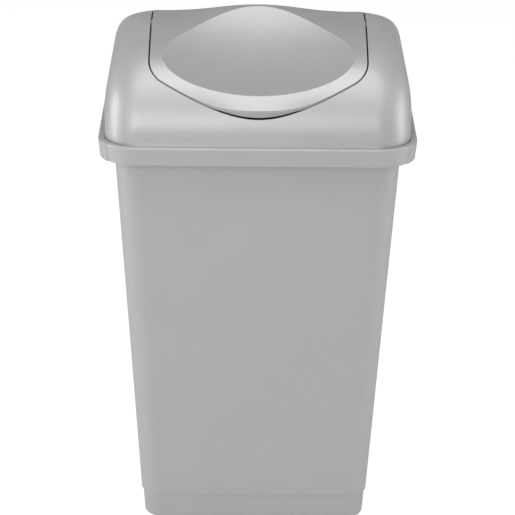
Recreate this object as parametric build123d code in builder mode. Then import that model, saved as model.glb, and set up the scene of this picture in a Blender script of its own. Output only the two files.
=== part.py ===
"""Swing-lid trash can: tapered bucket, lift-off hood and a rocking flap.

Millimetres, +Z up. The origin is the middle of the foot, and the front of the can faces -Y.
"""
from build123d import *
from math import cos, pi, radians, sin, sqrt
import os

# Bucket
foot_width = 300.0          # outside the wall at the floor, along X
foot_depth = 236.0          # and along Y
mouth_width = 366.0         # outside the wall at the rim ledge
mouth_depth = 300.0
foot_corner = 26.0          # plan radius of the upright corners at the floor
mouth_corner = 30.0
bucket_wall = 2.5
floor_thickness = 3.0
base_band_height = 38.0     # stepped-in band round the foot
base_band_inset = 2.0
base_edge_radius = 5.0
foot_ring_width = 14.0      # the ring that the can stands on
foot_recess = 3.0

# Turned-down rim of the bucket
rim_top = 552.0
rim_height = 24.0
rim_width = 403.0           # over the front and back bands
rim_depth = 340.0
rim_corner = 48.0
rim_wall = 2.5
rim_draft = 2.5             # how far the lower edge of the band stands in from its upper edge
rim_bead = 6.7              # thickness of the rolled upper edge
rim_edge_radius = 2.4
grip_step = 1.5             # how far the side grips stand out from the band
grip_reach = 152.0          # half length of a side grip
ledge_depth = 6.0           # from the rim top down to the ledge that the hood sits on
ledge_thickness = 2.5

# Hood
hood_clearance = 0.3        # between the hood and the bead round it
hood_rise = 120.0           # crest of the hood above the rim top
hood_wall = 2.5
hood_corner = 44.0
horn_half_width = 149.0     # where the crest of the hood starts to round over
shoulder_height = 33.0      # straight part of the hood's sides above the rim top
hood_section_angles = (0, 12, 24, 36, 48, 60, 71, 80, 85)
seat_thickness = 2.5
skirt_height = 14.0         # locating skirt inside the mouth of the bucket
skirt_wall = 2.2
skirt_clearance = 0.6
cheek_depth = 34.0          # bearing cheeks that close the inner sides of the hood
cheek_wall = 2.5

# Opening and flap, seen from above
flap_gap = 2.0
flap_half_width = 137.3
flap_side_y = 119.6         # where the bowed lip would meet the straight side
flap_corner = 28.0
flap_lip_y = 154.5          # middle of the lip

# Flap form
flap_wall = 2.5
flap_flange_depth = 4.0     # how far the edge flange reaches below the hood's face
flap_flange_inset = 0.8
ridge_swell = 17.0          # how far the middle of the flap stands above the hood's crest
lip_swell = 7.0             # and above the hood's slope at the middle of the lip
swell_half_width = 120.0
ridge_power = 1.8           # fullness of the middle section from ridge to lip
dish_radius = 451.0
dish_centre_y = -291.0
dish_centre_z = 1037.0

# Pivot
pivot_drop = 11.0           # pivot axis below the hood's crest
pin_radius = 5.0
pin_clearance = 0.08
pin_length = 7.5            # past the face of the cheek
thrust_collar_radius = 7.5
thrust_clearance = 0.3
ear_radius = 12.0
ear_wall = 4.0
bearing_radius = 10.0
bearing_length = 8.0
snap_slot_width = 8.6

# Sizes that follow
ledge_z = rim_top - ledge_depth
crest_z = rim_top + hood_rise
pivot_z = crest_z - pivot_drop
hood_half_width = rim_width / 2 - rim_bead - hood_clearance
hood_half_depth = rim_depth / 2 - rim_bead - hood_clearance
cheek_x = flap_half_width + flap_gap
ridge_z = crest_z + ridge_swell
lip_z = rim_top + hood_rise * sqrt(1 - (flap_lip_y / hood_half_depth) ** 2) + lip_swell
section_reach = flap_lip_y + 3.0


def lofted_box(bottom, top, z_bottom, z_top):
    """Tapered solid between two rounded rectangles, each (width, depth, corner radius)."""
    with BuildPart() as solid:
        for size, z in ((bottom, z_bottom), (top, z_top)):
            with BuildSketch(Plane.XY.offset(z)):
                RectangleRounded(size[0], size[1], size[2])
        loft()
    return solid.part


def bucket_size(z, inset=0.0):
    """Width, depth and corner radius of the bucket's outside at height z, less an inset."""
    share = z / ledge_z
    width = foot_width + (mouth_width - foot_width) * share
    depth = foot_depth + (mouth_depth - foot_depth) * share
    corner = foot_corner + (mouth_corner - foot_corner) * share
    return (width - 2 * inset, depth - 2 * inset, corner - inset)


def rim_size(inset=0.0):
    """Width, depth and corner radius of the rim, less an inset."""
    return (rim_width - 2 * inset, rim_depth - 2 * inset, rim_corner - inset)


def side_grips():
    """Thicker stretches of the rim, each from the middle of one corner to the middle of the next."""
    z_low = rim_top - rim_height
    with BuildPart() as grips:
        add(lofted_box(rim_size(rim_draft - grip_step), rim_size(-grip_step), z_low, rim_top))
        fillet(grips.faces().sort_by(Axis.Z)[-1].edges(), rim_edge_radius)
        with Locations((0, 0, rim_top)):
            Box(2 * rim_width, 2 * grip_reach, 4 * rim_height, mode=Mode.INTERSECT)
    return grips.part


# Bucket: tapered wall, stepped foot, ledge, bead and drafted band in one moulding
with BuildPart() as bin_body:
    add(lofted_box(bucket_size(base_band_height), bucket_size(ledge_z), base_band_height, ledge_z))
    add(lofted_box(bucket_size(0, base_band_inset), bucket_size(base_band_height, base_band_inset),
                   0, base_band_height))
    foot_edges = bin_body.faces().sort_by(Axis.Z)[0].edges()
    fillet(foot_edges, base_edge_radius)
    with BuildSketch(Plane.XY.offset(ledge_z - ledge_thickness)):
        RectangleRounded(*rim_size(rim_bead / 2))
    extrude(amount=ledge_thickness)
    # the band and the bead
    z_low = rim_top - rim_height
    add(lofted_box(rim_size(rim_draft), rim_size(), z_low, rim_top))
    top_edges = bin_body.faces().sort_by(Axis.Z)[-1].edges()
    fillet(top_edges, rim_edge_radius)
    add(side_grips())
    # the seat for the hood
    with BuildSketch(Plane.XY.offset(ledge_z)):
        RectangleRounded(*rim_size(rim_bead))
    extrude(amount=2 * ledge_depth, mode=Mode.SUBTRACT)
    # the hollow between band and bucket, open below
    under = z_low - 1
    shelf = ledge_z - ledge_thickness
    add(lofted_box(rim_size(rim_draft + rim_wall), rim_size(rim_wall), under, shelf)
        - lofted_box(bucket_size(under), bucket_size(shelf), under, shelf), mode=Mode.SUBTRACT)
    # the inside
    floor_top = foot_recess + floor_thickness
    add(lofted_box(bucket_size(floor_top, bucket_wall + base_band_inset),
                   bucket_size(base_band_height + bucket_wall, bucket_wall + base_band_inset),
                   floor_top, base_band_height), mode=Mode.SUBTRACT)
    add(lofted_box(bucket_size(base_band_height, bucket_wall), bucket_size(ledge_z, bucket_wall),
                   base_band_height, ledge_z), mode=Mode.SUBTRACT)
    # the recess inside the foot ring
    with BuildSketch(Plane.XY):
        RectangleRounded(*bucket_size(0, base_band_inset + foot_ring_width))
    extrude(amount=foot_recess, mode=Mode.SUBTRACT)


def hood_solid(inset, z_low):
    """Closed form of the hood: rounded-rectangle sections up an elliptic arch."""
    with BuildPart() as solid:
        with BuildSketch(Plane.XY.offset(z_low)):
            RectangleRounded(2 * (hood_half_width - inset), 2 * (hood_half_depth - inset),
                             hood_corner - inset)
        extrude(amount=rim_top - z_low)
        for angle in hood_section_angles:
            rise = (hood_rise - inset) * sin(radians(angle))
            half_depth = (hood_half_depth - inset) * cos(radians(angle))
            over = max(0.0, (rise - shoulder_height) / (hood_rise - inset - shoulder_height))
            round_over = hood_half_width - horn_half_width
            half_width = horn_half_width + round_over * sqrt(1 - over ** 2) - inset
            with BuildSketch(Plane.XY.offset(rim_top + rise)):
                RectangleRounded(2 * half_width, 2 * half_depth,
                                 min(hood_corner - inset, 0.92 * half_depth))
        loft()
    return solid.part


def outline_prism(grow, z_bottom, z_top):
    """Upright prism of the flap's outline: straight sides, bowed lips and rounded corners."""
    with BuildPart() as prism:
        with BuildSketch(Plane.XY.offset(z_bottom)):
            with BuildLine():
                for end in (-1, 1):
                    ThreePointArc((-flap_half_width, end * flap_side_y), (0, end * flap_lip_y),
                                  (flap_half_width, end * flap_side_y))
                    Line((end * flap_half_width, -flap_side_y), (end * flap_half_width, flap_side_y))
            make_face()
            fillet(vertices(), flap_corner)
            if grow:
                offset(amount=grow, kind=Kind.INTERSECTION)
        extrude(amount=z_top - z_bottom)
    return prism.part


def bearing_cheek(side):
    """Arched plate that closes the inner side of one horn of the hood."""
    with BuildPart() as cheek:
        with BuildSketch(Plane.YZ.offset(side * (cheek_x + cheek_wall / 2))):
            with Locations((0, rim_top)):
                Rectangle(2 * flap_side_y, 3 * hood_rise)
                Ellipse(hood_half_depth - cheek_depth, hood_rise - cheek_depth, mode=Mode.SUBTRACT)
        extrude(amount=cheek_wall / 2, both=True)
        split(bisect_by=Plane.XY.offset(rim_top), keep=Keep.TOP)
        add(hood_solid(hood_wall / 2, ledge_z), mode=Mode.INTERSECT)
    return cheek.part


# Hood: one thin moulding with a seat ring, a locating skirt, bearing cheeks and the opening
skirt_low = ledge_z - skirt_height
with BuildPart() as hood:
    add(hood_solid(0, ledge_z))
    add(hood_solid(hood_wall, ledge_z - 1), mode=Mode.SUBTRACT)
    # the seat ring on the bucket's ledge, and the skirt inside its mouth
    skirt_size = bucket_size(skirt_low, bucket_wall + skirt_clearance)
    skirt_inner = bucket_size(skirt_low, bucket_wall + skirt_clearance + skirt_wall)
    with BuildSketch(Plane.XY.offset(ledge_z)):
        RectangleRounded(2 * hood_half_width - hood_wall, 2 * hood_half_depth - hood_wall,
                         hood_corner - hood_wall / 2)
    extrude(amount=seat_thickness)
    with BuildSketch(Plane.XY.offset(skirt_low)):
        RectangleRounded(*skirt_size)
    extrude(amount=skirt_height)
    with BuildSketch(Plane.XY.offset(skirt_low)):
        RectangleRounded(*skirt_inner)
    extrude(amount=skirt_height + seat_thickness, mode=Mode.SUBTRACT)
    # the bearing cheeks, with a boss, a bore and a slot to snap the pin in from below
    for side in (-1, 1):
        add(bearing_cheek(side))
        with BuildSketch(Plane.YZ.offset(side * cheek_x)):
            with Locations((0, pivot_z)):
                Circle(bearing_radius)
        extrude(amount=side * bearing_length)
        with BuildSketch(Plane.YZ.offset(side * (cheek_x - 1))):
            with Locations((0, pivot_z)):
                Circle(pin_radius + pin_clearance)
            with Locations((0, pivot_z - cheek_depth / 2)):
                Rectangle(snap_slot_width, cheek_depth)
        extrude(amount=side * (bearing_length + 2), mode=Mode.SUBTRACT)
    add(outline_prism(flap_gap, rim_top + cheek_depth / 2, ridge_z), mode=Mode.SUBTRACT)


def flap_height(x, y, wall=0.0):
    """Height of the flap's face: the hood's arch, swollen towards the middle."""
    arch = rim_top + (hood_rise - wall) * sqrt(1 - (y / (hood_half_depth - wall)) ** 2)
    middle = ridge_z - (ridge_z - lip_z) * (abs(y) / flap_lip_y) ** ridge_power
    share = cos(pi * x / (2 * swell_half_width)) ** 2 if abs(x) < swell_half_width else 0.0
    return arch + share * (middle - 1.3 * wall - arch)


def arch_solid(drop):
    """Solid under the hood's plain arch, lowered by a drop."""
    with BuildPart() as solid:
        with BuildSketch(Plane.YZ):
            with Locations((0, rim_top - drop)):
                Ellipse(hood_half_depth, hood_rise)
        extrude(amount=rim_width / 2, both=True)
    return solid.part


def flap_solid(wall=0.0):
    """Solid under the flap's face, lofted through upright sections from side to side."""
    stations = [swell_half_width * k / 5 for k in range(-5, 6)]
    stations = [-flap_half_width - 4] + stations + [flap_half_width + 4]
    with BuildPart() as solid:
        for x in stations:
            with BuildSketch(Plane.YZ.offset(x)):
                with BuildLine():
                    ys = [section_reach * k / 7 for k in range(-7, 8)]
                    face_line = Spline(*[(y, flap_height(x, y, wall)) for y in ys])
                    Polyline(face_line @ 1, (section_reach, rim_top), (-section_reach, rim_top),
                             face_line @ 0)
                make_face()
        loft()
    return solid.part


def dishes(radius):
    """The two spheres that press a dish into the front and back slopes."""
    with BuildPart() as pair:
        with Locations((0, dish_centre_y, dish_centre_z), (0, -dish_centre_y, dish_centre_z)):
            Sphere(radius)
    return pair.part


def edge_flange():
    """Short wall under the rim of the flap."""
    with BuildPart() as flange:
        add(outline_prism(-flap_flange_inset, rim_top, ridge_z))
        add(outline_prism(-flap_flange_inset - flap_wall, rim_top, ridge_z), mode=Mode.SUBTRACT)
        add(flap_solid(flap_wall / 2), mode=Mode.INTERSECT)
        add(arch_solid(flap_flange_depth), mode=Mode.SUBTRACT)
    return flange.part


def pivot_ear(side):
    """Rounded lug under one side of the flap, round the pivot axis."""
    with BuildPart() as ear:
        with BuildSketch(Plane.YZ.offset(side * (flap_half_width - flap_flange_inset))):
            with Locations((0, pivot_z)):
                Circle(ear_radius)
            with Locations((0, crest_z)):
                Rectangle(4 * ear_radius, pivot_drop)
            make_hull()
        extrude(amount=-side * ear_wall)
        add(flap_solid(flap_wall / 2), mode=Mode.INTERSECT)
    return ear.part


# Flap: swollen skin with two dishes, an edge flange, and ears that carry the pivot pins
with BuildPart() as swing_flap:
    add(flap_solid())
    add(flap_solid(flap_wall) - dishes(dish_radius + flap_wall), mode=Mode.SUBTRACT)
    add(edge_flange())
    for side in (-1, 1):
        add(pivot_ear(side))
    add(outline_prism(0, rim_top - 1, ridge_z + 1), mode=Mode.INTERSECT)
    add(dishes(dish_radius), mode=Mode.SUBTRACT)
    for side in (-1, 1):
        start = flap_half_width - flap_flange_inset
        with BuildSketch(Plane.YZ.offset(side * start)):
            with Locations((0, pivot_z)):
                Circle(thrust_collar_radius)
        extrude(amount=side * (cheek_x - thrust_clearance - start))
        with BuildSketch(Plane.YZ.offset(side * start)):
            with Locations((0, pivot_z)):
                Circle(pin_radius)
        extrude(amount=side * (cheek_x + pin_length - start))


os.makedirs("parts", exist_ok=True)
for name, piece in (("bin_body", bin_body), ("hood", hood), ("swing_flap", swing_flap)):
    piece.part.label = name
    export_step(piece.part, f"parts/{name}.step")
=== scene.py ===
"""Looks of the swing-lid trash can: satin metallic plastic, studio light and camera."""
import math

import bpy
from mathutils import Matrix, Vector

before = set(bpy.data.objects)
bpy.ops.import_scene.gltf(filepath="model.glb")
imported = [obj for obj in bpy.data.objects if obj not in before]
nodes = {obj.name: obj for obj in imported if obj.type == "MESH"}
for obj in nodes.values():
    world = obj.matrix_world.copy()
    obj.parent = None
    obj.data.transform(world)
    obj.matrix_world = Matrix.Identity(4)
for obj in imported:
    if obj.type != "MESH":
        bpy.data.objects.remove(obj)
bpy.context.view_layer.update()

# Camera: found by fitting a pinhole camera to the outline of the can
PIXELS = 515
SENSOR_WIDTH = 36.0
FOCAL_PIXELS = 2365.9
CAMERA_DISTANCE = 3.1993
CAMERA_PITCH = math.radians(22.48)
CAMERA_TURN = math.radians(0.33)
CAMERA_ROLL = math.radians(0.64)
AXIS_LEFT_PIXELS = 1.64      # how far the optical axis lies left of the picture's middle
AIM = Vector((0, 0, 0.3353))
CLIP_END = 50.0

# Stage
WORLD_LIGHT = 0.35
FLOOR_SIZE = 12.0
FLOOR_DROP = 0.0005
FLOOR_GREY = 0.86
FLOOR_ROUGHNESS = 0.9
FLOOR_GLOW = 1.32
GLOW_SHARE = 0.62            # how much of the floor's look is glow, to the camera alone

# Lamps: name, place, width, height and watts
LAMP_AIM = Vector((0, 0, 0.4))
LAMPS = (
    ("top_light", (0, -0.6, 2.6), 1.8, 1.4, 26),
    ("front_light", (-0.6, -2.6, 1.5), 1.4, 1.6, 34),
    ("left_light", (-2.2, -0.3, 0.9), 1.0, 1.8, 26),
    ("right_light", (2.2, -0.3, 0.9), 1.0, 1.8, 22),
)

# Plastic: fine flake, with a slow drift of tone and polish over it
FLAKE_SCALE = 1400.0
FLAKE_CONTRAST = 0.10
FLAKE_BUMP = 0.10
FLAKE_HEIGHT = 0.0004
DRIFT_SCALE = 14.0
TONE_DRIFT = 0.015
POLISH_DRIFT = 0.07
NOISE_LOW = 0.3
NOISE_HIGH = 0.7

# Plastics: CAD node, material, grey, roughness and metallic share
PLASTICS = (
    ("bin_body", "bucket_plastic", 0.36, 0.46, 0.25),
    ("hood", "hood_plastic", 0.37, 0.42, 0.30),
    ("swing_flap", "flap_plastic", 0.35, 0.30, 0.30),
)


def make_camera():
    """Camera at the photograph's angle, aimed at the middle of the frame."""
    forward = Vector((math.sin(CAMERA_TURN) * math.cos(CAMERA_PITCH),
                      math.cos(CAMERA_TURN) * math.cos(CAMERA_PITCH),
                      -math.sin(CAMERA_PITCH)))
    level = Vector((math.cos(CAMERA_TURN), -math.sin(CAMERA_TURN), 0))
    upward = level.cross(forward)
    right = math.cos(CAMERA_ROLL) * level + math.sin(CAMERA_ROLL) * upward
    up = math.cos(CAMERA_ROLL) * upward - math.sin(CAMERA_ROLL) * level
    data = bpy.data.cameras.new("camera")
    data.sensor_width = SENSOR_WIDTH
    data.sensor_fit = "HORIZONTAL"
    data.lens = data.sensor_width * FOCAL_PIXELS / PIXELS
    data.shift_x = AXIS_LEFT_PIXELS / PIXELS
    data.clip_end = CLIP_END
    camera = bpy.data.objects.new("camera", data)
    bpy.context.scene.collection.objects.link(camera)
    place = AIM - CAMERA_DISTANCE * forward
    camera.matrix_world = Matrix(((right.x, up.x, -forward.x, place.x),
                                  (right.y, up.y, -forward.y, place.y),
                                  (right.z, up.z, -forward.z, place.z),
                                  (0, 0, 0, 1)))
    bpy.context.scene.camera = camera


class Nodes:
    """A node tree with short calls to add and join nodes."""

    def __init__(self, owner):
        owner.use_nodes = True
        self.owner = owner
        self.tree = owner.node_tree
        self.tree.nodes.clear()

    def add(self, kind, **settings):
        node = self.tree.nodes.new(kind)
        for key, value in settings.items():
            if hasattr(node, key):
                setattr(node, key, value)
            else:
                node.inputs[key.replace("_", " ")].default_value = value
        return node

    def join(self, source, target):
        self.tree.links.new(source, target)

    def from_noise(self, noise, start, end):
        """Maps the middle range of a noise onto start to end."""
        node = self.add("ShaderNodeMapRange", From_Min=NOISE_LOW, From_Max=NOISE_HIGH,
                        To_Min=start, To_Max=end)
        self.join(noise.outputs["Fac"], node.inputs["Value"])
        return node.outputs["Result"]


def flake_plastic(name, grey, roughness, metallic):
    """Satin plastic with fine metal flake: grain in colour, roughness and bump."""
    n = Nodes(bpy.data.materials.new(name))
    place = n.add("ShaderNodeNewGeometry")
    shader = n.add("ShaderNodeBsdfPrincipled", Metallic=metallic)
    output = n.add("ShaderNodeOutputMaterial")
    grain = n.add("ShaderNodeTexNoise", Scale=FLAKE_SCALE, Detail=2.0, Roughness=0.6)
    cloud = n.add("ShaderNodeTexNoise", Scale=DRIFT_SCALE, Detail=3.0, Roughness=0.5)
    n.join(place.outputs["Position"], grain.inputs["Vector"])
    n.join(place.outputs["Position"], cloud.inputs["Vector"])
    tone = n.from_noise(grain, grey * (1 - FLAKE_CONTRAST), grey * (1 + FLAKE_CONTRAST))
    drift = n.from_noise(cloud, 1 - TONE_DRIFT, 1 + TONE_DRIFT)
    blend = n.add("ShaderNodeMath", operation="MULTIPLY")
    n.join(tone, blend.inputs[0])
    n.join(drift, blend.inputs[1])
    colour = n.add("ShaderNodeCombineColor")
    for channel in ("Red", "Green", "Blue"):
        n.join(blend.outputs[0], colour.inputs[channel])
    n.join(colour.outputs["Color"], shader.inputs["Base Color"])
    rough = n.from_noise(cloud, roughness * (1 - POLISH_DRIFT), roughness * (1 + POLISH_DRIFT))
    n.join(rough, shader.inputs["Roughness"])
    bump = n.add("ShaderNodeBump", Strength=FLAKE_BUMP, Distance=FLAKE_HEIGHT)
    n.join(grain.outputs["Fac"], bump.inputs["Height"])
    n.join(bump.outputs["Normal"], shader.inputs["Normal"])
    n.join(shader.outputs["BSDF"], output.inputs["Surface"])
    return n.owner


def dress(node, material):
    """Gives a CAD node its material."""
    data = nodes[node].data
    data.materials.clear()
    data.materials.append(material)


def white_world():
    """A world that lights softly and is white to the camera."""
    world = bpy.data.worlds.new("world")
    bpy.context.scene.world = world
    n = Nodes(world)
    light = n.add("ShaderNodeBackground", Color=(1, 1, 1, 1), Strength=WORLD_LIGHT)
    seen = n.add("ShaderNodeBackground", Color=(1, 1, 1, 1), Strength=1.0)
    path = n.add("ShaderNodeLightPath")
    mix = n.add("ShaderNodeMixShader")
    out = n.add("ShaderNodeOutputWorld")
    n.join(path.outputs["Is Camera Ray"], mix.inputs["Fac"])
    n.join(light.outputs[0], mix.inputs[1])
    n.join(seen.outputs[0], mix.inputs[2])
    n.join(mix.outputs[0], out.inputs["Surface"])


def pale_floor():
    """A pale floor that catches a soft shadow."""
    bpy.ops.mesh.primitive_plane_add(size=FLOOR_SIZE, location=(0, 0, -FLOOR_DROP))
    floor = bpy.context.object
    floor.name = "floor"
    n = Nodes(bpy.data.materials.new("floor_white"))
    shader = n.add("ShaderNodeBsdfPrincipled", Roughness=FLOOR_ROUGHNESS)
    shader.inputs["Base Color"].default_value = (FLOOR_GREY, FLOOR_GREY, FLOOR_GREY, 1)
    glow = n.add("ShaderNodeEmission", Strength=FLOOR_GLOW)
    glow.inputs["Color"].default_value = (1, 1, 1, 1)
    path = n.add("ShaderNodeLightPath")
    share = n.add("ShaderNodeMath", operation="MULTIPLY")
    share.inputs[1].default_value = GLOW_SHARE
    mix = n.add("ShaderNodeMixShader")
    out = n.add("ShaderNodeOutputMaterial")
    n.join(path.outputs["Is Camera Ray"], share.inputs[0])
    n.join(share.outputs[0], mix.inputs["Fac"])
    n.join(shader.outputs[0], mix.inputs[1])
    n.join(glow.outputs[0], mix.inputs[2])
    n.join(mix.outputs[0], out.inputs["Surface"])
    floor.data.materials.append(n.owner)


def softbox(name, place, width, height, power):
    """A rectangular lamp that points at the can."""
    data = bpy.data.lights.new(name, "AREA")
    data.shape = "RECTANGLE"
    data.size = width
    data.size_y = height
    data.energy = power
    lamp = bpy.data.objects.new(name, data)
    bpy.context.scene.collection.objects.link(lamp)
    lamp.location = place
    lamp.rotation_euler = (LAMP_AIM - Vector(place)).to_track_quat("-Z", "Y").to_euler()


make_camera()
white_world()
pale_floor()
for lamp in LAMPS:
    softbox(*lamp)
for node, *plastic in PLASTICS:
    dress(node, flake_plastic(*plastic))

bpy.context.scene.view_settings.view_transform = "Standard"
